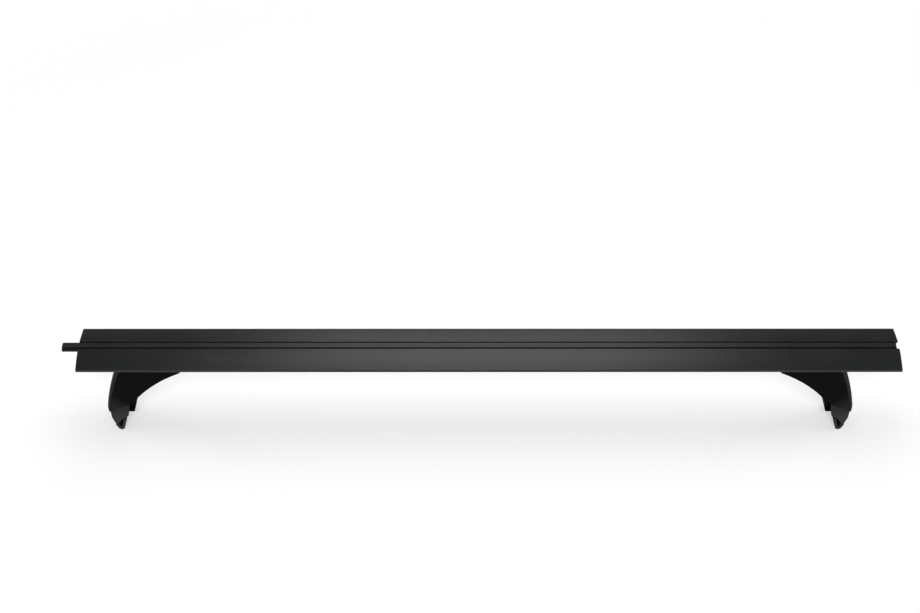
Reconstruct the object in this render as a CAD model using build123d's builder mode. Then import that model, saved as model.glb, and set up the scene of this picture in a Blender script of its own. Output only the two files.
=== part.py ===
"""Roof rack crossbar: an aerofoil bar carried on two clamp-on legs.

Millimetres, +Z up. X runs along the bar, Y across it, and Z starts at the tips of the clamp hooks.
The legs stand symmetrically about X = 0. The left leg is modelled and the right one is its mirror image.
"""

import os
from math import acos, cos, degrees, radians, sin

from build123d import *

os.makedirs("parts", exist_ok=True)

# Bar extrusion, across its section
bar_length = 1200.0
bar_width = 82.0
bar_height = 20.6
bar_wall = 2.2
bar_shift = 12.0  # how far the bar is pushed along its legs
front_slope = 9.0  # degrees, where the front face meets the slot
thin_edge_low = 2.6
thin_edge_high = 7.4
thin_edge_round = 1.6
blunt_edge_low = 3.4
blunt_edge_high = 16.6
blunt_top_round = 8.0
blunt_bottom_round = 3.0
underside_half = 29.0  # half width of the flat underside

# Slot on top for accessories
slot_y = -1.5
slot_opening = 13.6
slot_width = 21.0
slot_lip = 3.2
slot_depth = 7.0
slot_side = 2.0
lip_round = 0.5

# Channel underneath for the legs
channel_opening = 11.0
channel_width = 22.0
channel_lip = 2.5
channel_depth = 5.5

# Rubber infill strip in the top slot
strip_overhang = 24.0  # how far it sticks out of the left end
strip_short = 4.0  # how far it stops short of the right end
strip_sink = 0.4
strip_step_width = 1.7
strip_step_depth = 1.9
strip_clearance = 0.3
strip_barb = 1.8
strip_barb_thickness = 2.4
strip_keel_width = 9.0
strip_height = 9.4
strip_hollow = 1.9

# Legs
leg_inset = 100.0  # bar's half length to a leg's reference line
leg_height = 133.0  # hook tip to the underside of the bar
leg_width = 58.0
body_wall = 3.0
seat_thickness = 5.0
saddle_thickness = 2.0
slide_clearance = 0.15
fit_clearance = 0.03
running_clearance = 0.05
seam_gap = 0.3

# Side view of a leg, measured inward from its reference line
seam_top_u = -25.0
cover_foot_z = 40.0
shoulder_share = 0.52  # of the height from the cover's foot to its top
bulge_share = 0.18
seam_middle_u = -41.9
seam_foot_u = -53.2
arch_toe_u = 60.0
arch_toe_drop = 9.6
arch_middle_u = 16.0
arch_middle_share = 0.51  # of the arch's rise
arch_foot = (-12.0, 66.0)
sole_corner = (-25.4, 56.0)
outline_round = 1.5
arch_chamfer = 1.0

# Outer cover
cover_wall = 2.5
cover_top_u = -33.6
cover_shoulder_u = -48.3
cover_bulge_u = -55.4
cover_foot_u = -55.6
cover_chamfer = 1.5
seam_groove_width = 1.5  # the dark line between a leg and its cover
seam_groove_depth = 1.7
tongue_width = 12.0
tongue_thickness = 3.0
tongue_reach = 14.0
tongue_spacing = 30.0

# Rubber foot pad and the foot of the leg that carries it
pad_bottom = 34.0
pad_top = 48.0
pad_inner_low = -19.2
pad_outer = -31.8
pad_round = 2.0
sole_thickness = 4.0

# Clamp bracket, pivot and hook
pivot_u = -27.0
pivot_drop = 26.0  # below the bar's underside
pin_radius = 3.0
pin_end_gap = 1.0
pin_boss_size = 14.0
steel = 3.0
side_play = 0.5
neck_inset = 5.5
neck_drop = 21.0  # below the pivot
bracket_bend_high = 63.0
bracket_bend_low = (-54.6, 37.5)
bracket_calf = (-54.2, 25.5)
bracket_ankle = (-49.6, 10.5)
hook_u = -42.7
hook_inner_bend = 0.6
hook_lip_end = (-34.0, 21.0)
flange_top_u = -25.0
flange_waist = (-25.0, 46.0)
flange_knee = (-28.6, 29.5)
flange_tip = (-39.5, 21.5)
liner_thickness = 1.2

# Tension bolt that pulls the clamp in
tension_z = 74.0
tension_radius = 3.0
tension_tip = -17.0
head_radius = 5.0
head_height = 6.0
socket_across = 5.0
socket_depth = 3.2
nut_across = 10.0
nut_boss_size = 17.0
nut_start = -24.5
nut_length = 12.5
washer_half = 7.5
washer_thickness = 2.5
washer_taper = 1.6
washer_gap = 0.15
tension_slot_width = 8.0
tension_slot_length = 15.0

# Bolts that hold a leg to the bar
bar_bolt_us = (-8.0, 22.0)
bar_bolt_radius = 3.0
bar_bolt_hole = 3.4
bar_bolt_tip_gap = 1.0
bar_head_across = 10.0
bar_head_height = 4.0
spreader_length = 50.0
spreader_width = 18.0
spreader_thickness = 1.6
plate_length = 60.0
plate_thickness = 4.4
plate_side_play = 1.0

# Levels and planes worked out from the sizes above
bar_left = bar_shift - bar_length / 2
bar_base = leg_height
bar_end = Plane(origin=(bar_left, 0, bar_base), x_dir=(0, 1, 0), z_dir=(1, 0, 0))
leg_x = leg_inset - bar_length / 2
leg_side = Plane(origin=(leg_x, 0, 0), x_dir=(1, 0, 0), z_dir=(0, -1, 0))
saddle_top = leg_height - slide_clearance
seat_top = saddle_top - saddle_thickness
seat_bottom = seat_top - seat_thickness
inner_half = leg_width / 2 - body_wall
slot_ceiling = bar_height - slot_lip
slot_floor = slot_ceiling - slot_depth
channel_ceiling = channel_lip + channel_depth
seam_top = (seam_top_u, seat_top)
shoulder_z = cover_foot_z + shoulder_share * (seat_top - cover_foot_z)
seam_middle = (seam_middle_u, shoulder_z)
seam_foot = (seam_foot_u, cover_foot_z)
cover_shoulder = (cover_shoulder_u, shoulder_z)
cover_bulge = (cover_bulge_u, cover_foot_z + bulge_share * (seat_top - cover_foot_z))
cover_foot = (cover_foot_u, cover_foot_z)
arch_toe = (arch_toe_u, seat_top - arch_toe_drop)
arch_middle = (arch_middle_u, arch_foot[1] + arch_middle_share * (arch_toe[1] - arch_foot[1]))
foot_share = (arch_foot[1] - pad_top) / (arch_foot[1] - pad_bottom)
pad_heel = (arch_foot[0] + foot_share * (pad_inner_low - arch_foot[0]), pad_top)
pivot = (pivot_u, leg_height - pivot_drop)
bracket_width = 2 * (inner_half - side_play)
bracket_neck_width = bracket_width - 2 * neck_inset
bracket_neck_low = pivot[1] - neck_drop
pad_width = bracket_width - 2 * (steel + side_play)
pin_length = 2 * (inner_half - pin_end_gap)
eye_radius = pin_radius + running_clearance + steel
web_face = pivot[0] - eye_radius
washer_face = web_face - washer_gap
head_seat = washer_face - washer_thickness
tension_axis = Plane(origin=(leg_x, 0, tension_z), x_dir=(0, 1, 0), z_dir=(1, 0, 0))
hook_bend = steel + hook_inner_bend
hook_centre = (hook_u, liner_thickness + hook_bend)
bolt_centre_u = sum(bar_bolt_us) / len(bar_bolt_us)
bolt_spots = [(leg_x + u, 0) for u in bar_bolt_us]
bar_bolt_seat = seat_bottom - spreader_thickness
bar_bolt_tip = bar_base + channel_ceiling - bar_bolt_tip_gap


def outward(point, centre, distance):
    """The point moved away from a centre by a distance, in a side view."""
    away = Vector(*point) - Vector(*centre)
    moved = Vector(*point) + away.normalized() * distance
    return (moved.X, moved.Y)


def touch(point, centre, radius, turn):
    """Where a straight line from a point meets a bend, on the side that turn (1 or -1) names."""
    reach = Vector(*point) - Vector(*centre)
    swing = degrees(acos(radius / reach.length))
    meeting = Vector(*centre) + reach.normalized().rotate(Axis.Z, turn * swing) * radius
    return (meeting.X, meeting.Y)


# Bar extrusion
with BuildSketch(bar_end) as bar_outline:
    with BuildLine():
        crest = (slot_y, bar_height)
        falling = (-cos(radians(front_slope)), -sin(radians(front_slope)))
        front_face = TangentArc(crest, (-bar_width / 2, thin_edge_high), tangent=falling)
        back_face = TangentArc(crest, (bar_width / 2, blunt_edge_high), tangent=(1, 0))
        Polyline(
            front_face @ 1,
            (-bar_width / 2, thin_edge_low),
            (-underside_half, 0),
            (underside_half, 0),
            (bar_width / 2, blunt_edge_low),
            back_face @ 1,
        )
    make_face()
    fillet(bar_outline.vertices().group_by(Axis.X)[0], thin_edge_round)
    blunt_bottom, blunt_top = bar_outline.vertices().group_by(Axis.X)[-1].sort_by(Axis.Y)
    fillet(blunt_top, blunt_top_round)
    fillet(bar_outline.vertices().sort_by_distance(blunt_bottom)[0], blunt_bottom_round)

with BuildSketch(bar_end) as bar_chambers:
    add(bar_outline.sketch_local)
    offset(amount=-bar_wall, mode=Mode.REPLACE)
    with Locations((slot_y, bar_height / 2)):
        Rectangle(slot_width + 2 * slot_side, bar_height, mode=Mode.SUBTRACT)
    with Locations((0, bar_height / 2)):
        Rectangle(channel_width + 2 * slot_side, bar_height, mode=Mode.SUBTRACT)

with BuildSketch(bar_end) as bar_slots:
    with Locations((slot_y, slot_floor)):
        Rectangle(slot_width, slot_depth, align=(Align.CENTER, Align.MIN))
        Rectangle(slot_opening, bar_height, align=(Align.CENTER, Align.MIN))
    with Locations((0, channel_lip)):
        Rectangle(channel_width, channel_depth, align=(Align.CENTER, Align.MIN))
    with Locations((0, channel_ceiling)):
        Rectangle(channel_opening, bar_height, align=(Align.CENTER, Align.MAX))

with BuildSketch(bar_end) as bar_section:
    add(bar_outline.sketch_local)
    add(bar_slots.sketch_local, mode=Mode.SUBTRACT)
    lips = [
        corner
        for corner in bar_section.vertices()
        if corner.Y > slot_ceiling and abs(abs(corner.X - slot_y) - slot_opening / 2) < 0.01
    ]
    fillet([c for c in lips if c.Y > slot_ceiling + slot_lip / 2], lip_round)
    add(bar_chambers.sketch_local, mode=Mode.SUBTRACT)

with BuildPart() as crossbar_extrusion:
    extrude(bar_section.sketch, amount=bar_length)

# Infill strip
with BuildPart() as infill_strip:
    with BuildSketch(bar_end.offset(-strip_overhang)):
        strip_top = bar_height - strip_sink
        barb_top = slot_ceiling - strip_clearance
        stem_width = slot_opening - 2 * strip_clearance
        stem_height = strip_top - barb_top + strip_barb_thickness
        with Locations((slot_y, strip_top)):
            Rectangle(stem_width - 2 * strip_step_width, stem_height, align=(Align.CENTER, Align.MAX))
            Rectangle(strip_keel_width, strip_height, align=(Align.CENTER, Align.MAX))
        with Locations((slot_y, strip_top - strip_step_depth)):
            Rectangle(stem_width, stem_height - strip_step_depth, align=(Align.CENTER, Align.MAX))
        with Locations((slot_y, barb_top)):
            Rectangle(stem_width + 2 * strip_barb, strip_barb_thickness, align=(Align.CENTER, Align.MAX))
        with Locations((slot_y, strip_top - strip_height / 2)):
            Circle(strip_hollow, mode=Mode.SUBTRACT)
    extrude(amount=bar_length + strip_overhang - strip_short)

# Leg body: a moulded shell, open on its outer side and underneath
with BuildSketch(leg_side) as body_outline:
    with BuildLine():
        ThreePointArc(seam_top, seam_middle, seam_foot)
        Polyline(seam_foot, sole_corner, arch_foot)
        arch = ThreePointArc(arch_foot, arch_middle, arch_toe)
        Polyline(arch_toe, (arch_toe_u, seat_top), seam_top)
    make_face()
    fillet(body_outline.vertices().sort_by_distance(sole_corner)[0], outline_round)
    fillet(body_outline.vertices().sort_by_distance(arch_toe)[0], outline_round)
arch_centre = (arch.arc_center.X, arch.arc_center.Y)

with BuildPart() as leg_cavity:
    with BuildSketch(leg_side):
        with BuildLine():
            ceiling_end = (arch_toe_u - body_wall, seat_bottom)
            inner_arch = ThreePointArc(
                outward(arch_foot, arch_centre, body_wall),
                outward(arch_middle, arch_centre, body_wall),
                outward(arch_toe, arch_centre, body_wall),
            )
            Polyline(
                inner_arch @ 1,
                ceiling_end,
                (cover_foot[0] - body_wall, seat_bottom),
                (cover_foot[0] - body_wall, 0),
                ((inner_arch @ 0).X, 0),
                inner_arch @ 0,
            )
        make_face()
    extrude(amount=inner_half, both=True)
    with BuildSketch(tension_axis.offset(nut_start)):
        Rectangle(nut_boss_size, nut_boss_size)
    extrude(amount=arch_toe_u, mode=Mode.SUBTRACT)
    for side in (1, -1):
        with BuildSketch(leg_side.offset(side * (bracket_neck_width / 2 + seam_gap))):
            with Locations(pivot):
                Rectangle(pin_boss_size, pin_boss_size)
        extrude(amount=side * leg_width, mode=Mode.SUBTRACT)

with BuildPart() as leg_body:
    extrude(body_outline.sketch, amount=leg_width / 2, both=True)
    round_edges = leg_body.edges().filter_by(GeomType.CIRCLE)
    chamfer([edge for edge in round_edges if abs(edge.radius - arch.radius) < seam_gap], arch_chamfer)
    add(leg_cavity.part, mode=Mode.SUBTRACT)
    with BuildSketch(leg_side):
        with BuildLine():
            Polyline(
                arch_foot,
                pad_heel,
                (pad_outer, pad_top),
                (pad_outer, pad_top + sole_thickness),
                (pad_heel[0] - sole_thickness, pad_top + sole_thickness),
                (arch_foot[0] - sole_thickness, arch_foot[1] + body_wall),
                close=True,
            )
        make_face()
    extrude(amount=pad_width / 2, both=True)
    with BuildSketch(leg_side):
        with Locations(pivot):
            Circle(pin_radius + fit_clearance)
    extrude(amount=pin_length / 2, both=True, mode=Mode.SUBTRACT)
    with BuildSketch(tension_axis.offset(nut_start)):
        RegularPolygon(nut_across / 2 + fit_clearance, 6, major_radius=False)
    extrude(amount=nut_length, mode=Mode.SUBTRACT)
    with BuildSketch(Plane.XY.offset(seat_top)):
        with Locations(bolt_spots):
            Circle(bar_bolt_hole)
    extrude(amount=-seat_thickness, mode=Mode.SUBTRACT)

# Outer cover: a curved shell that plugs into the open side of the leg
with BuildPart() as leg_cover:
    with BuildSketch(leg_side):
        with BuildLine():
            shoulder = ThreePointArc((cover_top_u, seat_top), cover_shoulder, cover_bulge)
            TangentArc(cover_bulge, cover_foot, tangent=shoulder % 1)
            Line(cover_foot, (seam_foot[0] - seam_gap, seam_foot[1]))
            ThreePointArc(
                (seam_foot[0] - seam_gap, seam_foot[1]),
                (seam_middle[0] - seam_gap, seam_middle[1]),
                (seam_top_u - seam_gap, seat_top),
            )
            Line((seam_top_u - seam_gap, seat_top), (cover_top_u, seat_top))
        make_face()
    extrude(amount=leg_width / 2, both=True)
    outer_edges = [
        edge
        for edge in leg_cover.edges().filter_by(GeomType.CIRCLE)
        if any(abs(end.X - leg_x - cover_bulge[0]) < running_clearance for end in (edge @ 0, edge @ 1))
    ]
    chamfer(outer_edges, cover_chamfer)
    for side in (1, -1):
        with BuildSketch(leg_side.offset(side * leg_width / 2)):
            with BuildLine():
                groove_start = ThreePointArc(seam_top, seam_middle, seam_foot)
                groove_end = ThreePointArc(
                    (seam_top_u - seam_groove_width, seat_top),
                    (seam_middle[0] - seam_groove_width, seam_middle[1]),
                    (seam_foot[0] - seam_groove_width, seam_foot[1]),
                )
                Line(groove_start @ 0, groove_end @ 0)
                Line(groove_start @ 1, groove_end @ 1)
            make_face()
        extrude(amount=-side * seam_groove_depth, mode=Mode.SUBTRACT)
    with BuildSketch(leg_side):
        with BuildLine():
            inner_bulge = (cover_bulge[0] + cover_wall, cover_bulge[1])
            inner_foot = (cover_foot[0] + cover_wall, cover_foot[1])
            inner_top = (cover_top_u + cover_wall, seat_bottom)
            ThreePointArc(inner_top, (cover_shoulder[0] + cover_wall, cover_shoulder[1]), inner_bulge)
            Polyline(inner_bulge, inner_foot, (inner_foot[0], 0), (0, 0), (0, seat_bottom), inner_top)
        make_face()
    extrude(amount=inner_half, both=True, mode=Mode.SUBTRACT)
    for side in (1, -1):
        with BuildSketch(leg_side.offset(side * tongue_spacing / 2)):
            with Locations((cover_top_u, seat_bottom - seam_gap)):
                Rectangle(tongue_reach, tongue_thickness, align=(Align.MIN, Align.MAX))
        extrude(amount=tongue_width / 2, both=True)

# Rubber saddle between a leg and the bar
with BuildPart() as saddle_pad:
    with BuildSketch(Plane.XY.offset(seat_top)):
        with Locations((leg_x + (seam_top_u + arch_toe_u) / 2, 0)):
            Rectangle(arch_toe_u - seam_top_u - saddle_thickness, leg_width - saddle_thickness)
        with Locations(bolt_spots):
            Circle(bar_bolt_hole, mode=Mode.SUBTRACT)
    extrude(amount=saddle_thickness)

# Threaded plate in the bar's channel, with the hexagon bolts and the spreader plate that pull it down
with BuildPart() as channel_plate:
    with BuildSketch(Plane.XY.offset(bar_base + channel_lip + slide_clearance)):
        with Locations((leg_x + bolt_centre_u, 0)):
            Rectangle(plate_length, channel_width - plate_side_play)
        with Locations(bolt_spots):
            Circle(bar_bolt_radius + fit_clearance, mode=Mode.SUBTRACT)
    extrude(amount=plate_thickness)

with BuildPart() as bar_bolts:
    with BuildSketch(Plane.XY.offset(bar_bolt_seat)):
        with Locations(bolt_spots):
            RegularPolygon(bar_head_across / 2, 6, major_radius=False)
    extrude(amount=-bar_head_height)
    with BuildSketch(Plane.XY.offset(bar_bolt_seat)):
        with Locations(bolt_spots):
            Circle(bar_bolt_radius)
    extrude(amount=bar_bolt_tip - bar_bolt_seat)

with BuildPart() as spreader_plate:
    with BuildSketch(Plane.XY.offset(bar_bolt_seat)):
        with Locations((leg_x + bolt_centre_u, 0)):
            Rectangle(spreader_length, spreader_width)
        with Locations(bolt_spots):
            Circle(bar_bolt_hole, mode=Mode.SUBTRACT)
    extrude(amount=spreader_thickness)

# Rubber pad that stands on the vehicle's roof
with BuildPart() as foot_pad:
    with BuildSketch(leg_side):
        with BuildLine():
            Polyline(
                (pad_outer, pad_bottom),
                (pad_inner_low, pad_bottom),
                pad_heel,
                (pad_outer, pad_top),
                close=True,
            )
        make_face()
    extrude(amount=pad_width / 2, both=True)
    fillet(foot_pad.edges().group_by(Axis.Z)[0], pad_round)

# Pivot pin of the clamp
with BuildPart() as pivot_pin:
    with BuildSketch(leg_side):
        with Locations(pivot):
            Circle(pin_radius)
    extrude(amount=pin_length / 2, both=True)

# Clamp bracket: a pressed steel channel, rolled into an eye on top and folded into a hook below
with BuildSketch(leg_side) as bracket_sheet:
    with BuildLine():
        hook_start = touch(bracket_ankle, hook_centre, hook_bend, 1)
        hook_end = touch(hook_lip_end, hook_centre, hook_bend, -1)
        FilletPolyline(
            (web_face, pivot[1]),
            (web_face, bracket_bend_high),
            bracket_bend_low,
            bracket_calf,
            bracket_ankle,
            hook_start,
            radius=hook_bend,
        )
        ThreePointArc(hook_start, (hook_u, liner_thickness), hook_end)
        Line(hook_end, hook_lip_end)
        offset(amount=steel, side=Side.LEFT)
    make_face()

with BuildPart() as clamp_bracket:
    extrude(bracket_sheet.sketch, amount=bracket_width / 2, both=True)
    middle = steel / 2
    for side in (1, -1):
        with BuildSketch(leg_side.offset(side * bracket_width / 2)):
            with BuildLine():
                Polyline(
                    (web_face + middle, bracket_neck_low),
                    (web_face + middle, bracket_bend_high),
                    (bracket_bend_low[0] + middle, bracket_bend_low[1]),
                    (bracket_calf[0] + middle, bracket_calf[1]),
                    (bracket_ankle[0] + middle, bracket_ankle[1]),
                    flange_tip,
                    flange_knee,
                    flange_waist,
                    (flange_top_u, bracket_neck_low),
                    close=True,
                )
            make_face()
        extrude(amount=-side * steel)
        with BuildSketch(leg_side.offset(side * bracket_neck_width / 2)):
            with Locations((cover_foot[0], bracket_neck_low)):
                Rectangle(-cover_foot[0], leg_height, align=(Align.MIN, Align.MIN))
        extrude(amount=side * bracket_width, mode=Mode.SUBTRACT)
    with BuildSketch(leg_side):
        with Locations(pivot):
            Circle(eye_radius)
    extrude(amount=bracket_neck_width / 2, both=True)
    with BuildSketch(leg_side):
        with Locations(pivot):
            Circle(pin_radius + running_clearance)
    extrude(amount=bracket_width / 2, both=True, mode=Mode.SUBTRACT)
    with BuildSketch(tension_axis.offset(web_face - middle)):
        SlotOverall(tension_slot_length, tension_slot_width, rotation=90)
    extrude(amount=2 * steel, mode=Mode.SUBTRACT)

# Rubber liner round the hook
with BuildPart() as hook_liner:
    with BuildSketch(leg_side):
        with BuildLine():
            Line(bracket_ankle, hook_start)
            ThreePointArc(hook_start, (hook_u, liner_thickness), hook_end)
            Line(hook_end, hook_lip_end)
            offset(amount=liner_thickness, side=Side.RIGHT)
        make_face()
    extrude(amount=bracket_width / 2, both=True)

# Tension bolt, the ridged washer that lets the clamp rock, and the long hexagon nut
with BuildPart() as clamp_nut:
    with BuildSketch(tension_axis.offset(nut_start)):
        RegularPolygon(nut_across / 2, 6, major_radius=False)
        Circle(tension_radius + running_clearance, mode=Mode.SUBTRACT)
    extrude(amount=nut_length)

with BuildPart() as clamp_washer:
    with BuildSketch(leg_side):
        with BuildLine():
            Polyline(
                (washer_face, tension_z),
                (washer_face - washer_taper, tension_z + washer_half),
                (head_seat, tension_z + washer_half),
                (head_seat, tension_z - washer_half),
                (washer_face - washer_taper, tension_z - washer_half),
                close=True,
            )
        make_face()
    extrude(amount=washer_half, both=True)
    with BuildSketch(tension_axis.offset(head_seat)):
        Circle(tension_radius + running_clearance)
    extrude(amount=washer_thickness, mode=Mode.SUBTRACT)

with BuildPart() as clamp_bolt:
    with BuildSketch(tension_axis.offset(head_seat)):
        Circle(head_radius)
    extrude(amount=-head_height)
    with BuildSketch(tension_axis.offset(head_seat - head_height)):
        RegularPolygon(socket_across / 2, 6, major_radius=False)
    extrude(amount=socket_depth, mode=Mode.SUBTRACT)
    with BuildSketch(tension_axis.offset(head_seat)):
        Circle(tension_radius)
    extrude(amount=tension_tip - head_seat)

for label, piece in (("crossbar_extrusion", crossbar_extrusion), ("infill_strip", infill_strip)):
    piece.part.label = label
    export_step(piece.part, f"parts/{label}.step")

leg_pieces = {
    "leg_body": leg_body,
    "leg_cover": leg_cover,
    "saddle_pad": saddle_pad,
    "channel_plate": channel_plate,
    "bar_bolts": bar_bolts,
    "spreader_plate": spreader_plate,
    "foot_pad": foot_pad,
    "pivot_pin": pivot_pin,
    "clamp_bracket": clamp_bracket,
    "hook_liner": hook_liner,
    "clamp_nut": clamp_nut,
    "clamp_washer": clamp_washer,
    "clamp_bolt": clamp_bolt,
}
for label, piece in leg_pieces.items():
    mirrored = mirror(piece.part, about=Plane.YZ)
    for hand, solid in (("left", piece.part), ("right", mirrored)):
        solid.label = f"{hand}_{label}"
        export_step(solid, f"parts/{hand}_{label}.step")
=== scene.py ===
"""Looks of a roof rack crossbar: an aerofoil bar with a rubber strip, carried on two clamp legs.

Everything is in metres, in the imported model's frame: X runs along the bar, Y across it, Z up from the
hook tips.
"""

import logging
import math
from collections.abc import Callable
from dataclasses import dataclass, field
from enum import Enum

import bpy
from mathutils import Matrix, Vector


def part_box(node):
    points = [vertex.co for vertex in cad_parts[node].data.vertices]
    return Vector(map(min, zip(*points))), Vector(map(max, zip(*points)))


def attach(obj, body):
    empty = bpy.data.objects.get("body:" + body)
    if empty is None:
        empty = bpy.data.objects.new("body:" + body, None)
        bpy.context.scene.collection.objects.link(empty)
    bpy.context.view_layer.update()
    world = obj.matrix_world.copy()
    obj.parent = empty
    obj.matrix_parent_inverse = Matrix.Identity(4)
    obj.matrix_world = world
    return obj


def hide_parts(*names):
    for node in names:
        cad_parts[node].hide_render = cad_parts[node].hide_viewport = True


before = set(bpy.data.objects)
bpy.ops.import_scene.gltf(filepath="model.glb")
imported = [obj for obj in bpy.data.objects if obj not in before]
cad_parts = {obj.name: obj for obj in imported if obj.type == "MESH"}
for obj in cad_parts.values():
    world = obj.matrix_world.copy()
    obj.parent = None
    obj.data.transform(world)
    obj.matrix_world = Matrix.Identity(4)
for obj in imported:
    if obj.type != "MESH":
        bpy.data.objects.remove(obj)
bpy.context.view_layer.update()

LOG = logging.getLogger("crossbar")
Triple = tuple[float, float, float]
Colour = tuple[float, float, float, float]
Socket = bpy.types.NodeSocket

IMAGE_WIDTH_PX = 920
SENSOR_WIDTH_MM = 36.0
NEAREST_SEEN = 0.01  # the camera shows nothing closer than this

# How every finish mixes its fine and broad noise, and where the noise counts as hollow and as peak
FINE_DETAIL, FINE_SHARE = 3.0, 0.4
BROAD_DETAIL, BROAD_SHARE = 2.0, 0.6
HOLLOW, PEAK = 0.3, 0.7
BUMP_STRENGTH = 0.6

# How edges are softened and lightened with a painted highlight, and how painted shade darkens crevices
SOFT_SAMPLES = 4
HIGHLIGHT_START, HIGHLIGHT_FULL = 0.99, 0.8  # cosine between the softened normal and the true one
# Painted highlight: the light grey that sharp edges are lightened towards
HIGHLIGHT_GREY = 0.6
# Painted shade: ambient occlusion darkens crevices and joins
SHADE_SAMPLES = 8
SHADE_POWER = 2.5

# How meshes are cleaned, and how much a face's normal rises where it stands upright or lies level
MERGE_REACH = 0.000005
SMOOTH_BELOW = math.radians(32.0)
UPRIGHT_RISE, LEVEL_RISE = 0.5, 0.9

# How many sides a hexagon has, and how many flats a small rounded edge
HEX_SIDES = 6
SMALL_EDGE_STEPS = 2


def grey(level: float) -> Colour:
    """An opaque grey."""
    return (level, level, level, 1.0)


def hexagon_radius(across: float) -> float:
    """The radius to a hexagon's corners, from its width across the flats."""
    return across / 2 / math.cos(math.pi / 6)


class Side(Enum):
    """A leg's side of the bar, with the turn about Z that brings a left piece there."""

    LEFT = ("left", 0.0)
    RIGHT = ("right", math.pi)

    @property
    def label(self) -> str:
        """The side's word in node and body names."""
        return self.value[0]

    @property
    def turn(self) -> Matrix:
        """The turn from the left leg to this side's leg."""
        return Matrix.Rotation(self.value[1], 4, "Z")


class Grain(Enum):
    """How a finish's fine texture runs: the scale of its noise along X, Y and Z, per metre."""

    DRAWN = (5.0, 1500.0, 1500.0)
    SPARKED = (1500.0, 1500.0, 1500.0)
    SATIN = (900.0, 900.0, 900.0)
    PEEL = (620.0, 620.0, 620.0)
    BRUSHED = (240.0, 2600.0, 2600.0)


class Element(Enum):
    """What is picked in edit mode, with the name of the mesh's list of such elements."""

    FACE = "polygons"
    VERT = "vertices"


class Graph:
    """A new material's node tree, with short ways to add nodes and join them."""

    def __init__(self, name: str) -> None:
        """Make the material and open its tree.

        Args:
            name: The material's name.
        """
        self.material = bpy.data.materials.new(name)
        self.material.use_nodes = True
        self.nodes = self.material.node_tree.nodes
        self.links = self.material.node_tree.links
        self.shader = self.nodes["Principled BSDF"]

    def fill(self, node: bpy.types.Node, inputs: dict[str | int, object]) -> None:
        """Set or join a node's inputs.

        Args:
            node: The node.
            inputs: A value, or the socket that it comes from, for each input's name or number.
        """
        for key, value in inputs.items():
            if isinstance(value, Socket):
                self.links.new(value, node.inputs[key])
            else:
                node.inputs[key].default_value = value

    def add(self, kind: str, inputs: dict[str | int, object], **settings: object) -> bpy.types.Node:
        """Add a node.

        Args:
            kind: Its type, without the words that every shader node's type starts with.
            inputs: Its inputs, as in fill.
            **settings: Its own settings, such as the operation.

        Returns:
            The node.
        """
        node = self.nodes.new("ShaderNode" + kind)
        for key, value in settings.items():
            setattr(node, key, value)
        self.fill(node, inputs)
        return node

    def calc(self, operation: str, *values: float | Socket) -> Socket:
        """Add a math node and give its result."""
        return self.add("Math", dict(enumerate(values)), operation=operation).outputs["Value"]

    def scale(self, colour: Socket, factor: Socket) -> Socket:
        """Multiply a colour by a factor."""
        return self.add("VectorMath", {0: colour, "Scale": factor}, operation="SCALE").outputs["Vector"]

    def noise(self, place: Socket, scale: float, detail: float) -> Socket:
        """Add a noise texture and give its value."""
        return self.add("TexNoise", {"Vector": place, "Scale": scale, "Detail": detail}).outputs["Fac"]

    def remap(
        self, value: Socket, start: float, end: float, low: float, high: float, kind: str = "LINEAR"
    ) -> Socket:
        """Bring a value from one range to another, and hold it there.

        Args:
            value: The value.
            start: Where it gives low.
            end: Where it gives high.
            low: What it gives at start.
            high: What it gives at end.
            kind: How it goes from one to the other.

        Returns:
            The new value.
        """
        ends = {"From Min": start, "From Max": end, "To Min": low, "To Max": high}
        return self.add("MapRange", {"Value": value, **ends}, interpolation_type=kind).outputs["Result"]

    def ramp(self, value: Socket, stops: list[tuple[float, Colour]], kind: str = "LINEAR") -> Socket:
        """Turn a value into a colour.

        Args:
            value: The value.
            stops: Two or more places on the ramp, each with its colour.
            kind: How the ramp goes from one to the next.

        Returns:
            The colour.
        """
        node = self.add("ValToRGB", {"Fac": value})
        node.color_ramp.interpolation = kind
        first, last = node.color_ramp.elements
        first.position, first.color = stops[0]
        last.position, last.color = stops[-1]
        for position, colour in stops[1:-1]:
            node.color_ramp.elements.new(position).color = colour
        return node.outputs["Color"]


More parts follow.
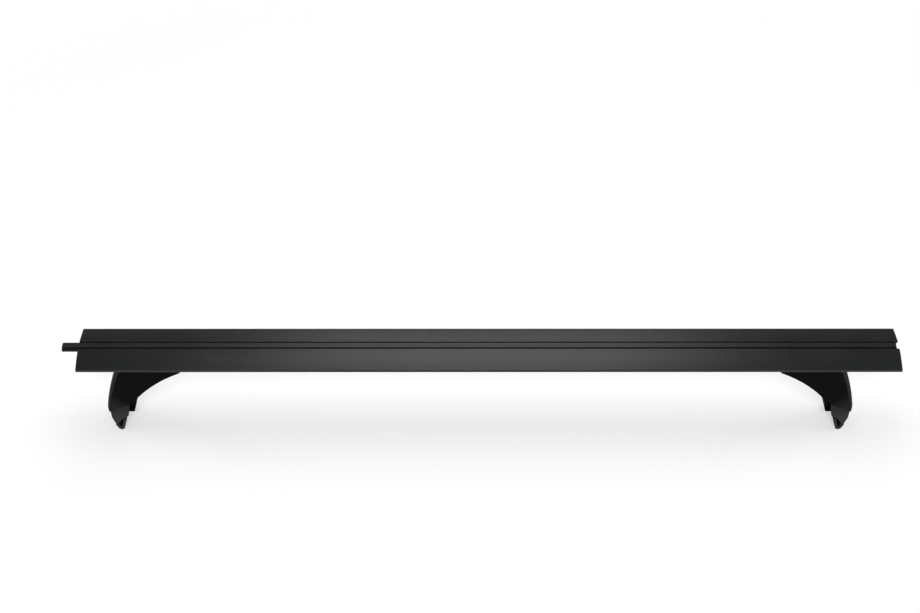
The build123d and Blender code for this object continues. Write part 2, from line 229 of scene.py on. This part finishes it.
@dataclass(frozen=True)
class Finish:
    """A surface finish, made into a node material.

    Attributes:
        name: Material name.
        dark: Colour in the texture's hollows.
        light: Colour on the texture's peaks.
        roughness: Mean roughness.
        swing: How far the roughness wanders to each side of the mean.
        grain: Direction and size of the fine texture.
        relief: Height of the fine texture.
        cloud: Size of the broad tonal clouds, per metre.
        metallic: Metallic share.
        specular: Specular level.
        softness: Radius that sharp edges are softened to.
        wear: Painted highlight: how much of the light grey shows on the softened edges.
        grime: Reach of the painted shade that darkens crevices and the joins between parts.
        dust: Painted light: how many times paler the finish is at its foot.
        dust_top: Height where the painted light starts.
        dust_foot: Height where the painted light is strongest.
        dust_at: Distance out along the bar where those two heights hold.
        dust_lean: How much higher they are for each metre further out.
    """

    name: str
    dark: Triple
    light: Triple
    roughness: float
    swing: float
    grain: Grain
    relief: float
    cloud: float = 14.0
    metallic: float = 0.0
    specular: float = 0.5
    softness: float = 0.0006
    wear: float = 0.0
    grime: float = 0.003
    dust: float = 1.0
    dust_top: float = 0.08
    dust_foot: float = 0.04
    dust_at: float = 0.54
    dust_lean: float = 0.0

    def material(self) -> bpy.types.Material:
        """Build the node material.

        Returns:
            The new material.
        """
        graph = Graph(self.name)
        place = graph.add("TexCoord", {}).outputs["Object"]
        stretch = graph.add("Mapping", {"Vector": place, "Scale": self.grain.value})
        fine = graph.noise(stretch.outputs["Vector"], 1.0, FINE_DETAIL)
        broad = graph.noise(place, self.cloud, BROAD_DETAIL)
        blend = graph.calc("MULTIPLY_ADD", broad, BROAD_SHARE, graph.calc("MULTIPLY", fine, FINE_SHARE))
        plain = graph.ramp(blend, [(HOLLOW, (*self.dark, 1.0)), (PEAK, (*self.light, 1.0))])

        soft = graph.add("Bevel", {"Radius": self.softness}, samples=SOFT_SAMPLES).outputs["Normal"]
        # Painted highlight along sharp edges
        highlighted = self._worn(graph, plain, soft, fine)
        # Painted light: the finish grows paler towards its foot
        foot_lit = graph.scale(highlighted, self._paling(graph, place))
        smooth, rough = self.roughness - self.swing, self.roughness + self.swing
        bump = {"Strength": BUMP_STRENGTH, "Distance": self.relief, "Height": fine, "Normal": soft}
        inputs = {
            # Painted shade in crevices and joins, from ambient occlusion
            "Base Color": graph.scale(foot_lit, self._openness(graph)),
            "Metallic": self.metallic,
            "Roughness": graph.remap(blend, HOLLOW, PEAK, smooth, rough),
            "Specular IOR Level": self.specular,
            "Normal": graph.add("Bump", bump).outputs["Normal"],
        }
        graph.fill(graph.shader, inputs)
        return graph.material

    def _worn(self, graph: Graph, plain: Socket, soft: Socket, fine: Socket) -> Socket:
        """Paint a highlight along sharp edges, lightening the colour there, broken up by the fine texture.

        Args:
            graph: The material's tree.
            plain: The colour before the painted highlight.
            soft: The normal with its edges softened.
            fine: The fine noise.

        Returns:
            The colour with its painted edge highlight.
        """
        true = graph.add("NewGeometry", {}).outputs["Normal"]
        turn = graph.add("VectorMath", {0: soft, 1: true}, operation="DOT_PRODUCT").outputs["Value"]
        edge = graph.remap(turn, HIGHLIGHT_START, HIGHLIGHT_FULL, 0.0, self.wear)
        highlight = {"Fac": graph.calc("MULTIPLY", edge, fine), "Color1": plain, "Color2": grey(HIGHLIGHT_GREY)}
        return graph.add("MixRGB", highlight).outputs["Color"]

    def _paling(self, graph: Graph, place: Socket) -> Socket:
        """Work out the painted light that makes the finish paler towards its foot.

        Args:
            graph: The material's tree.
            place: The object coordinates.

        Returns:
            The factor.
        """
        split = graph.add("SeparateXYZ", {"Vector": place}).outputs
        out = graph.calc("ABSOLUTE", split["X"])
        height = graph.calc("MULTIPLY_ADD", out, -self.dust_lean, split["Z"])
        sunk = self.dust_lean * self.dust_at
        return graph.remap(
            height, self.dust_top - sunk, self.dust_foot - sunk, 1.0, self.dust, "SMOOTHSTEP"
        )

    def _openness(self, graph: Graph) -> Socket:
        """Work out how open each spot is, for the painted shade that darkens the crevices.

        Args:
            graph: The material's tree.

        Returns:
            The factor: one in the open, towards nothing deep in a crevice.
        """
        clear = graph.add("AmbientOcclusion", {"Distance": self.grime}, samples=SHADE_SAMPLES)
        return graph.calc("POWER", clear.outputs["AO"], SHADE_POWER)


BAR_BLACK = Finish(
    "bar_black",
    dark=(0.0025, 0.0031, 0.0036),
    light=(0.0047, 0.0058, 0.0067),
    roughness=0.3,
    swing=0.03,
    grain=Grain.DRAWN,
    relief=0.00002,
    specular=0.37,
    wear=0.006,
)
STRIP_RUBBER = Finish(
    "strip_rubber",
    dark=(0.0028, 0.0034, 0.0039),
    light=(0.0056, 0.0066, 0.0074),
    roughness=0.34,
    swing=0.05,
    grain=Grain.DRAWN,
    relief=0.00004,
    specular=0.38,
    wear=0.006,
)
LEG_PLASTIC = Finish(
    "leg_plastic",
    dark=(0.0022, 0.0024, 0.0025),
    light=(0.0043, 0.0045, 0.0047),
    roughness=0.6,
    swing=0.06,
    grain=Grain.SPARKED,
    relief=0.00006,
    specular=0.03,
    wear=0.01,
    # A longer reach of painted shade, for the seams and the join under the bar
    grime=0.02,
    # Painted light: the leg is drawn paler towards its foot
    dust=5.8,
    dust_lean=1.0,
)
COVER_PLASTIC = Finish(
    "cover_plastic",
    dark=(0.0045, 0.0047, 0.0048),
    light=(0.0085, 0.0087, 0.0089),
    roughness=0.4,
    swing=0.05,
    grain=Grain.SATIN,
    relief=0.00004,
    specular=0.18,
    wear=0.016,
)
PAD_RUBBER = Finish(
    "pad_rubber",
    dark=(0.0008, 0.0008, 0.0008),
    light=(0.002, 0.002, 0.002),
    roughness=0.8,
    swing=0.08,
    grain=Grain.SPARKED,
    relief=0.00008,
    specular=0.01,
    wear=0.004,
)
BRACKET_COAT = Finish(
    "bracket_coat",
    dark=(0.0084, 0.0088, 0.009),
    light=(0.0154, 0.0161, 0.0164),
    roughness=0.4,
    swing=0.05,
    grain=Grain.PEEL,
    relief=0.00005,
    specular=0.15,
    wear=0.05,
    # Painted light: the bracket is drawn paler towards its foot
    dust=2.5,
    dust_top=0.045,
    dust_foot=0.018,
)
PLATED_STEEL = Finish(
    "plated_steel",
    dark=(0.36, 0.36, 0.35),
    light=(0.58, 0.58, 0.56),
    roughness=0.33,
    swing=0.08,
    grain=Grain.BRUSHED,
    relief=0.00001,
    metallic=1.0,
    softness=0.0003,
    wear=0.4,
)


@dataclass
class Wardrobe:
    """The materials of all finishes, each made once.

    Attributes:
        made: The materials made so far, by the name of their finish.
    """

    made: dict[str, bpy.types.Material] = field(default_factory=dict)

    def dress(self, piece: bpy.types.Object, finish: Finish) -> None:
        """Give a piece one finish all over.

        Args:
            piece: The piece.
            finish: The finish.
        """
        if finish.name not in self.made:
            self.made[finish.name] = finish.material()
        piece.data.materials.clear()
        piece.data.materials.append(self.made[finish.name])


WARDROBE = Wardrobe()


class Bench:
    """Small modelling moves that act on one piece at a time."""

    @staticmethod
    def clear() -> None:
        """Leave edit mode and select nothing."""
        if bpy.context.object and bpy.context.object.mode != "OBJECT":
            bpy.ops.object.mode_set(mode="OBJECT")
        bpy.ops.object.select_all(action="DESELECT")

    @staticmethod
    def take(piece: bpy.types.Object) -> None:
        """Select one piece alone and make it active.

        Args:
            piece: The piece.
        """
        Bench.clear()
        piece.select_set(True)
        bpy.context.view_layer.objects.active = piece

    @staticmethod
    def named(name: str) -> bpy.types.Object:
        """Name the piece that was just added.

        Args:
            name: Its name.

        Returns:
            The piece.
        """
        piece = bpy.context.object
        piece.name = name
        piece.data.name = name
        return piece

    @staticmethod
    def settled(name: str) -> bpy.types.Object:
        """Name the piece that was just added, and put its place, turn and size into its mesh.

        Args:
            name: Its name.

        Returns:
            The piece.
        """
        piece = Bench.named(name)
        Bench.take(piece)
        bpy.ops.object.transform_apply(location=True, rotation=True, scale=True)
        return piece

    @staticmethod
    def prism(name: str, sides: int, radius: float, height: float, middle: float) -> bpy.types.Object:
        """Add an upright prism on the Z axis.

        Args:
            name: Its name.
            sides: Number of its sides.
            radius: Radius to its corners.
            height: Its height.
            middle: Height of its middle.

        Returns:
            The prism.
        """
        Bench.clear()
        bpy.ops.mesh.primitive_cylinder_add(
            vertices=sides, radius=radius, depth=height, location=(0.0, 0.0, middle)
        )
        return Bench.settled(name)

    @staticmethod
    def pick(piece: bpy.types.Object, element: Element, test: Callable[[bpy.types.bpy_struct], bool]) -> None:
        """Go into edit mode with only the wanted faces or vertices selected.

        Args:
            piece: The piece.
            element: What is picked.
            test: Says of each one whether it is wanted.
        """
        Bench.take(piece)
        bpy.ops.object.mode_set(mode="EDIT")
        bpy.ops.mesh.select_mode(type=element.name)
        bpy.ops.mesh.select_all(action="DESELECT")
        bpy.ops.object.mode_set(mode="OBJECT")
        for one in getattr(piece.data, element.value):
            one.select = test(one)
        bpy.ops.object.mode_set(mode="EDIT")

    @staticmethod
    def apply(piece: bpy.types.Object, kind: str, **settings: object) -> None:
        """Add a modifier and apply it.

        Args:
            piece: The piece.
            kind: The modifier's type.
            **settings: The modifier's values.
        """
        Bench.take(piece)
        modifier = piece.modifiers.new(kind.lower(), kind)
        for key, value in settings.items():
            setattr(modifier, key, value)
        bpy.ops.object.modifier_apply(modifier=modifier.name)

    @staticmethod
    def cut(piece: bpy.types.Object, tool: bpy.types.Object, operation: str) -> None:
        """Cut a piece with a tool, and put the tool away.

        Args:
            piece: The piece.
            tool: The tool.
            operation: Which part of the piece stays.
        """
        Bench.apply(piece, "BOOLEAN", operation=operation, object=tool, solver="EXACT")
        bpy.data.objects.remove(tool, do_unlink=True)

    @staticmethod
    def tidy(piece: bpy.types.Object) -> None:
        """Merge doubles, turn all faces outwards and smooth the rounds.

        Args:
            piece: The piece.
        """
        Bench.take(piece)
        bpy.ops.object.mode_set(mode="EDIT")
        bpy.ops.mesh.select_all(action="SELECT")
        bpy.ops.mesh.remove_doubles(threshold=MERGE_REACH)
        bpy.ops.mesh.normals_make_consistent(inside=False)
        bpy.ops.object.mode_set(mode="OBJECT")
        bpy.ops.object.shade_smooth_by_angle(angle=SMOOTH_BELOW)

    @staticmethod
    def join(name: str, pieces: list[bpy.types.Object]) -> bpy.types.Object:
        """Join pieces into one.

        Args:
            name: The joined piece's name.
            pieces: What is joined.

        Returns:
            The joined piece.
        """
        Bench.clear()
        for piece in pieces:
            piece.select_set(True)
        bpy.context.view_layer.objects.active = pieces[0]
        bpy.ops.object.join()
        return Bench.named(name)

    @staticmethod
    def copy(piece: bpy.types.Object, name: str, move: Matrix) -> bpy.types.Object:
        """Copy a piece with a mesh of its own, and put it in its place.

        Args:
            piece: The piece.
            name: The copy's name.
            move: The move from the piece to its copy.

        Returns:
            The copy.
        """
        Bench.take(piece)
        bpy.ops.object.duplicate(linked=False)
        twin = Bench.named(name)
        twin.data.transform(move)
        return twin


@dataclass
class Bolt:
    """A bolt with a cut thread, made with its head below the origin and its shank up +Z.

    Attributes:
        name: Piece name.
        length: Shank length under the head.
        head_height: Height of the head.
        radius: Outer radius of the thread.
        pitch: Thread pitch.
        thread_depth: Depth of the thread.
        thread_steps: Flats in one turn of the thread.
        plain_share: Share of the shank that has no thread.
        edge: Width of the head's worked edges.
        shank_sides: Flats round the shank.
        head_sides: Flats round what is turned on the head.
    """

    name: str
    length: float
    head_height: float
    radius: float = 0.003
    pitch: float = 0.001
    thread_depth: float = 0.0006
    thread_steps: int = 24
    plain_share: float = 0.25
    edge: float = 0.0005
    shank_sides: int = 32
    head_sides: int = 48

    @property
    def core(self) -> float:
        """Radius at the root of the thread."""
        return self.radius - self.thread_depth

    @property
    def collar(self) -> float:
        """Length of the plain shank under the head."""
        return self.length * self.plain_share

    def build(self) -> bpy.types.Object:
        """Model the bolt.

        Returns:
            The bolt.
        """
        bolt = Bench.join(self.name, [self._head(), self._shank(), self._thread()])
        Bench.tidy(bolt)
        return bolt

    def _head(self) -> bpy.types.Object:
        """Model the head, which each kind of bolt has in its own form."""
        raise NotImplementedError

    def _shank(self) -> bpy.types.Object:
        """Model the thread's core with the plain shank under the head and a tapered tip.

        Returns:
            The shank.
        """
        collar, tip = self.collar, self.length - self.edge
        shank = Bench.prism(self.name + "_shank", self.shank_sides, self.core, self.length, self.length / 2)
        Bench.take(shank)
        bpy.ops.object.mode_set(mode="EDIT")
        bpy.ops.mesh.select_all(action="SELECT")
        bpy.ops.mesh.bisect(plane_co=(0.0, 0.0, collar), plane_no=(0.0, 0.0, 1.0))
        Bench.pick(
            shank, Element.FACE, lambda face: abs(face.normal.z) < UPRIGHT_RISE and face.center.z < collar
        )
        bpy.ops.mesh.extrude_region_shrink_fatten(TRANSFORM_OT_shrink_fatten={"value": self.thread_depth})
        Bench.pick(shank, Element.FACE, lambda face: face.normal.z > LEVEL_RISE and face.center.z > tip)
        bpy.ops.mesh.bevel(offset=self.thread_depth, segments=1)
        bpy.ops.object.mode_set(mode="OBJECT")
        return shank

    def _thread(self) -> bpy.types.Object:
        """Model the thread as one ridge screwed up the shank.

        Returns:
            The thread.
        """
        start, core = self.collar, self.core
        turns = max(2, int((self.length - start) / self.pitch) - 1)
        Bench.clear()
        bpy.ops.mesh.primitive_plane_add(size=1.0)
        ridge = Bench.named(self.name + "_thread")
        *chain, spare = ridge.data.polygons[0].vertices
        spots = ((core, start), (self.radius, start + self.pitch / 2), (core, start + self.pitch))
        for index, (reach, height) in zip(chain, spots):
            ridge.data.vertices[index].co = (reach, 0.0, height)
        Bench.pick(ridge, Element.VERT, lambda vertex: vertex.index == spare)
        bpy.ops.mesh.delete(type="VERT")
        bpy.ops.object.mode_set(mode="OBJECT")
        Bench.apply(
            ridge,
            "SCREW",
            axis="Z",
            angle=math.tau,
            screw_offset=self.pitch,
            iterations=turns,
            steps=self.thread_steps,
            render_steps=self.thread_steps,
            use_merge_vertices=True,
        )
        return ridge


@dataclass
class SocketScrew(Bolt):
    """A screw with a round head and a hexagon socket.

    Attributes:
        head_radius: Radius of the head.
        socket_across: Width of the socket across its flats.
        socket_depth: Depth of the socket.
    """

    head_radius: float = 0.005
    socket_across: float = 0.005
    socket_depth: float = 0.0032

    def _head(self) -> bpy.types.Object:
        """Model the round head and cut its socket.

        Returns:
            The head.
        """
        head = Bench.prism(
            self.name + "_head", self.head_sides, self.head_radius, self.head_height, -self.head_height / 2
        )
        Bench.apply(head, "BEVEL", width=self.edge, segments=SMALL_EDGE_STEPS, limit_method="ANGLE")
        corner = hexagon_radius(self.socket_across)
        key = Bench.prism(self.name + "_key", HEX_SIDES, corner, 2 * self.socket_depth, -self.head_height)
        Bench.cut(head, key, "DIFFERENCE")
        return head


@dataclass
class HexBolt(Bolt):
    """A bolt with a hexagon head, crowned on its outer face.

    Attributes:
        across: Width of the head across its flats.
        crown_flare: How far the crown's cone ends up outside the corners, in heights of the head.
    """

    across: float = 0.01
    crown_flare: float = 3.0

    @property
    def corner(self) -> float:
        """Radius of the head's corners."""
        return hexagon_radius(self.across)

    def _head(self) -> bpy.types.Object:
        """Model the hexagon head: its outer corners are turned off and its face is dished.

        Returns:
            The head.
        """
        head = Bench.prism(
            self.name + "_head", HEX_SIDES, self.corner, self.head_height, -self.head_height / 2
        )
        Bench.clear()
        bpy.ops.mesh.primitive_cone_add(
            vertices=self.head_sides,
            radius1=self.corner - 2 * self.edge,
            radius2=self.corner + self.crown_flare * self.head_height,
            depth=2 * self.head_height,
            location=(0.0, 0.0, 0.0),
        )
        Bench.cut(head, Bench.settled(self.name + "_crown"), "INTERSECT")
        Bench.pick(head, Element.FACE, lambda face: face.normal.z < -LEVEL_RISE)
        bpy.ops.mesh.inset(thickness=2 * self.edge)
        bpy.ops.transform.translate(value=(0.0, 0.0, self.edge / 2))
        bpy.ops.object.mode_set(mode="OBJECT")
        return head


@dataclass
class FootPad:
    """The rubber block under the left leg's foot, with treads across its sole.

    Attributes:
        name: Piece name.
        node: The CAD node that it stands for.
        lean: How far its inner face draws back from top to bottom.
        edge: Width of the rounded edges.
        edge_steps: Flats in a rounded edge.
        groove: Width of a groove.
        depth: Depth of a groove.
        treads: Number of grooves across the sole.
    """

    name: str
    node: str
    lean: float
    edge: float = 0.002
    edge_steps: int = 4
    groove: float = 0.0016
    depth: float = 0.0012
    treads: int = 7

    def build(self) -> bpy.types.Object:
        """Model the pad in its place.

        Returns:
            The pad.
        """
        low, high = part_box(self.node)
        Bench.clear()
        bpy.ops.mesh.primitive_cube_add(size=1.0, location=(low + high) / 2, scale=high - low)
        pad = Bench.settled(self.name)
        self._slope(pad, low.z, (low.x + high.x) / 2)
        self._round(pad, low.z)
        self._tread(pad, low, high)
        Bench.tidy(pad)
        return pad

    def _slope(self, pad: bpy.types.Object, floor: float, middle: float) -> None:
        """Lean the inner face: its lower edge draws back.

        Args:
            pad: The pad.
            floor: Height of its underside.
            middle: X of its middle.
        """
        reach = floor + self.edge / 2
        Bench.pick(pad, Element.VERT, lambda vertex: vertex.co.z < reach and vertex.co.x > middle)
        bpy.ops.transform.translate(value=(-self.lean, 0.0, 0.0))
        bpy.ops.object.mode_set(mode="OBJECT")

    def _round(self, pad: bpy.types.Object, floor: float) -> None:
        """Round the edges of the underside.

        Args:
            pad: The pad.
            floor: Height of its underside.
        """
        Bench.pick(pad, Element.FACE, lambda face: face.center.z < floor + self.edge / 2)
        bpy.ops.mesh.bevel(offset=self.edge, segments=self.edge_steps)
        bpy.ops.object.mode_set(mode="OBJECT")

    def _tread(self, pad: bpy.types.Object, low: Vector, high: Vector) -> None:
        """Cut grooves across the sole, one beside the other from front to back.

        Args:
            pad: The pad.
            low: The pad's lowest corner.
            high: Its highest corner.
        """
        step = (high.y - low.y) / (self.treads + 1)
        Bench.clear()
        bpy.ops.mesh.primitive_cube_add(
            size=1.0,
            location=((low.x + high.x) / 2, low.y + step, low.z),
            scale=(2 * (high.x - low.x), self.groove, 2 * self.depth),
        )
        cutter = Bench.settled(self.name + "_cutter")
        Bench.apply(
            cutter,
            "ARRAY",
            count=self.treads,
            use_relative_offset=False,
            use_constant_offset=True,
            constant_offset_displace=(0.0, step, 0.0),
        )
        Bench.apply(
            cutter, "BEVEL", width=self.groove / 4, segments=SMALL_EDGE_STEPS, limit_method="ANGLE"
        )
        Bench.cut(pad, cutter, "DIFFERENCE")


@dataclass
class Bar:
    """The aerofoil extrusion and the rubber strip in its slot.

    Attributes:
        finishes: The finish of each CAD node.
    """

    finishes: dict[str, Finish] = field(
        default_factory=lambda: {"crossbar_extrusion": BAR_BLACK, "infill_strip": STRIP_RUBBER}
    )

    def dress(self) -> None:
        """Give the bar and its strip their finishes."""
        for node, finish in self.finishes.items():
            WARDROBE.dress(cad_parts[node], finish)
            LOG.info("dressed %s in %s", node, finish.name)


@dataclass
class Stock:
    """The pieces that both legs share, modelled once on the left leg.

    The right leg mirrors the left one. These pieces are alike front and back, so a half turn brings their
    copies there and keeps the threads right-handed.

    Attributes:
        screw_head: Height of the tension screw's head.
        bolt_head: Height of the bar bolts' heads.
        pad_lean: How far the pad's inner face draws back from top to bottom.
        screw: The tension screw.
        bolts: The two bar bolts.
        pad: The foot pad.
    """

    screw_head: float = 0.006
    bolt_head: float = 0.004
    pad_lean: float = 0.00315
    screw: bpy.types.Object = field(init=False)
    bolts: bpy.types.Object = field(init=False)
    pad: bpy.types.Object = field(init=False)

    def build(self) -> None:
        """Model the screw, the bolts and the pad."""
        self.screw = self._tension_screw()
        self.bolts = self._bar_bolts()
        self.pad = FootPad("stock_pad", "left_foot_pad", self.pad_lean).build()

    def clear(self) -> None:
        """Take the stock away once all copies are made."""
        for piece in (self.screw, self.bolts, self.pad):
            bpy.data.objects.remove(piece, do_unlink=True)

    def _tension_screw(self) -> bpy.types.Object:
        """Model the screw that pulls the clamp in.

        Returns:
            The screw.
        """
        low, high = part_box("left_clamp_bolt")
        seat_x = low.x + self.screw_head
        screw = SocketScrew("stock_screw", high.x - seat_x, self.screw_head).build()
        seat = Vector((seat_x, (low.y + high.y) / 2, (low.z + high.z) / 2))
        screw.data.transform(Matrix.Translation(seat) @ Matrix.Rotation(math.pi / 2, 4, "Y"))
        return screw

    def _bar_bolts(self) -> bpy.types.Object:
        """Model one of the two bolts that hold a leg to the bar, and copy it to the other's place.

        Returns:
            The two bolts as one piece.
        """
        low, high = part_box("left_bar_bolts")
        seat_z = low.z + self.bolt_head
        bolt = HexBolt("stock_bolt", high.z - seat_z, self.bolt_head)
        first = bolt.build()
        first.data.transform(Matrix.Translation((low.x + bolt.corner, 0.0, seat_z)))
        apart = high.x - low.x - 2 * bolt.corner
        second = Bench.copy(first, "stock_bolt_twin", Matrix.Translation((apart, 0.0, 0.0)))
        return Bench.join("stock_bolts", [first, second])


@dataclass
class Leg:
    """One clamp leg with its cover, pad, hook and fasteners.

    Attributes:
        side: Which end of the bar it carries.
        finishes: The finish of each CAD node that shows as it is.
    """

    side: Side
    finishes: dict[str, Finish] = field(
        default_factory=lambda: {
            "leg_body": LEG_PLASTIC,
            "leg_cover": COVER_PLASTIC,
            "saddle_pad": PAD_RUBBER,
            "hook_liner": PAD_RUBBER,
            "clamp_bracket": BRACKET_COAT,
            "channel_plate": PLATED_STEEL,
            "spreader_plate": PLATED_STEEL,
            "pivot_pin": PLATED_STEEL,
            "clamp_nut": PLATED_STEEL,
            "clamp_washer": PLATED_STEEL,
        }
    )

    def node(self, name: str) -> str:
        """The full name of one of this leg's pieces, nodes or bodies."""
        return f"{self.side.label}_{name}"

    def dress(self) -> None:
        """Give each CAD node its finish."""
        for name, finish in self.finishes.items():
            WARDROBE.dress(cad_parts[self.node(name)], finish)
            LOG.info("dressed %s in %s", self.node(name), finish.name)

    def build(self, stock: Stock) -> None:
        """Put copies of the stock's pieces in their places and hang them on their bodies.

        Args:
            stock: The pieces that both legs share.
        """
        screw = Bench.copy(stock.screw, self.node("tension_screw"), self.side.turn)
        self._hang(screw, PLATED_STEEL, "bolt", "clamp_bolt")
        bolts = Bench.copy(stock.bolts, self.node("bar_bolt_pair"), self.side.turn)
        self._hang(bolts, PLATED_STEEL, "leg", "bar_bolts")
        pad = Bench.copy(stock.pad, self.node("grip_pad"), self.side.turn)
        self._hang(pad, PAD_RUBBER, "leg", "foot_pad")

    def _hang(self, piece: bpy.types.Object, finish: Finish, body: str, node: str) -> None:
        """Dress a piece and hang it on a body in place of a CAD node.

        Args:
            piece: The piece.
            finish: Its finish.
            body: The body's name without its side.
            node: The node's name without its side.
        """
        WARDROBE.dress(piece, finish)
        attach(piece, self.node(body))
        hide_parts(self.node(node))
        LOG.info("modelled %s with %d faces", piece.name, len(piece.data.polygons))


@dataclass
class Floor:
    """The pale floor, which keeps the object's shadow and is plain white to the eye further out.

    Attributes:
        half: Half of the floor's side.
        cells: Number of cells along a side.
        pale: Grey level of the floor.
        roughness: Its roughness.
        specular: Its specular level.
        near_white: Share of plain white beside the object, where shadows show.
        near_reach: How far out that share holds.
        white_reach: How far out the floor is all plain white.
        room_reach: How far out it has sunk to the room's tone.
    """

    half: float = 15.0
    cells: int = 4
    pale: float = 0.92
    roughness: float = 0.7
    specular: float = 0.2
    near_white: float = 0.5
    near_reach: float = 0.7
    white_reach: float = 1.5
    room_reach: float = 4.5

    def build(self) -> None:
        """Lay the floor."""
        Bench.clear()
        bpy.ops.mesh.primitive_grid_add(
            x_subdivisions=self.cells, y_subdivisions=self.cells, size=2 * self.half
        )
        floor = Bench.settled("floor")
        floor.data.materials.append(self._material())

    def _material(self) -> bpy.types.Material:
        """Mix the lit floor with plain white, by the distance from the object.

        Returns:
            The new material.
        """
        graph = Graph("pale_floor")
        lit = {
            "Base Color": grey(self.pale),
            "Roughness": self.roughness,
            "Specular IOR Level": self.specular,
        }
        graph.fill(graph.shader, lit)
        white = graph.add("Emission", {"Color": grey(1.0), "Strength": 1.0}).outputs["Emission"]
        place = graph.add("TexCoord", {}).outputs["Object"]
        away = graph.add("VectorMath", {0: place}, operation="LENGTH").outputs["Value"]
        stops = [
            (self.near_reach / self.room_reach, grey(self.near_white)),
            (self.white_reach / self.room_reach, grey(1.0)),
            (1.0, grey(0.0)),
        ]
        tone = graph.ramp(graph.calc("DIVIDE", away, self.room_reach), stops, "EASE")
        share = graph.calc("MULTIPLY", tone, self._seen(graph))
        mix = graph.add("MixShader", {"Fac": share, 1: graph.shader.outputs["BSDF"], 2: white})
        graph.fill(graph.nodes["Material Output"], {"Surface": mix.outputs["Shader"]})
        return graph.material

    @staticmethod
    def _seen(graph: Graph) -> Socket:
        """Tell rays that show the floor, straight or in metal or glass, from rays that light the object.

        Args:
            graph: The material's tree.

        Returns:
            One for a ray that shows the floor.
        """
        ray = graph.add("LightPath", {}).outputs
        direct = graph.calc("MAXIMUM", ray["Is Camera Ray"], ray["Is Glossy Ray"])
        return graph.calc("MAXIMUM", direct, ray["Is Transmission Ray"])


@dataclass(frozen=True)
class Lamp:
    """A soft rectangular lamp.

    Attributes:
        name: Its name.
        place: Where it hangs.
        aim: What it points at.
        size: Its width and height.
        watts: Its power.
    """

    name: str
    place: Triple
    aim: Triple
    size: tuple[float, float]
    watts: float

    def build(self) -> None:
        """Hang the lamp where the camera doesn't see it."""
        Bench.clear()
        bpy.ops.object.light_add(type="AREA", location=self.place)
        lamp = Bench.named(self.name)
        lamp.data.shape = "RECTANGLE"
        lamp.data.size, lamp.data.size_y = self.size
        lamp.data.energy = self.watts
        lamp.visible_camera = False
        lamp.rotation_euler = (Vector(self.aim) - Vector(self.place)).to_track_quat("-Z", "Y").to_euler()


LAMPS = (
    Lamp("top_softbox", (0.02, 0.2, 1.88), (0.0, 0.0, 0.14), (1.05, 1.1), 12.0),
    Lamp("rear_softbox", (0.02, 1.25, 1.38), (0.0, 0.0, 0.14), (1.05, 1.2), 6.5),
    Lamp("front_key", (0.0, -4.1, 4.45), (0.0, 0.0, 0.1), (0.9, 0.9), 145.0),
    Lamp("left_fill", (-2.3, 0.4, 1.2), (-0.5, 0.0, 0.1), (1.2, 1.2), 14.0),
    Lamp("right_fill", (2.3, 0.4, 1.2), (0.5, 0.0, 0.1), (1.2, 1.2), 16.0),
)


@dataclass
class Camera:
    """The camera, at the picture's angle.

    Attributes:
        focal_px: Focal length in pixels of the picture.
        elevation: Degrees that it looks down.
        yaw: Degrees that it looks to the right of +Y.
        roll: Degrees that it leans.
        distance: From the camera to its target.
        target: The point in the middle of the picture.
    """

    focal_px: float = 1568.2
    elevation: float = 42.0
    yaw: float = -0.24
    roll: float = -0.18
    distance: float = 2.246
    target: Triple = (-0.02934, 0.0, 0.22749)

    def build(self) -> None:
        """Stand the camera in its place."""
        down, turn, lean = (math.radians(angle) for angle in (self.elevation, self.yaw, self.roll))
        ahead = Vector((math.sin(turn) * math.cos(down), math.cos(turn) * math.cos(down), -math.sin(down)))
        level = Vector((math.cos(turn), -math.sin(turn), 0.0))
        above = level.cross(ahead)
        right = level * math.cos(lean) + above * math.sin(lean)
        up = above * math.cos(lean) - level * math.sin(lean)
        Bench.clear()
        bpy.ops.object.camera_add()
        camera = Bench.named("camera")
        axes = Matrix((right, up, -ahead)).transposed().to_4x4()
        camera.matrix_world = Matrix.Translation(Vector(self.target) - ahead * self.distance) @ axes
        camera.data.sensor_width = SENSOR_WIDTH_MM
        camera.data.lens = self.focal_px * SENSOR_WIDTH_MM / IMAGE_WIDTH_PX
        camera.data.clip_start = NEAREST_SEEN
        bpy.context.scene.camera = camera


@dataclass
class Studio:
    """The floor, the lights and the camera.

    Attributes:
        room_light: Strength of the even light that fills the room.
    """

    room_light: float = 0.3

    def build(self) -> None:
        """Set up floor, world, lamps and camera."""
        bpy.context.scene.view_settings.view_transform = "Standard"
        Floor().build()
        self._world()
        for lamp in LAMPS:
            lamp.build()
        Camera().build()

    def _world(self) -> None:
        """Fill the room with even light."""
        world = bpy.data.worlds.new("studio")
        bpy.context.scene.world = world
        world.use_nodes = True
        room = world.node_tree.nodes["Background"]
        room.inputs["Color"].default_value = grey(1.0)
        room.inputs["Strength"].default_value = self.room_light


def main() -> None:
    """Dress the bar and both legs, then set up the studio."""
    logging.basicConfig(level=logging.INFO)
    Bench.clear()
    Bar().dress()
    stock = Stock()
    stock.build()
    for side in Side:
        leg = Leg(side)
        leg.dress()
        leg.build(stock)
    stock.clear()
    Studio().build()


if __name__ == "__main__":
    main()
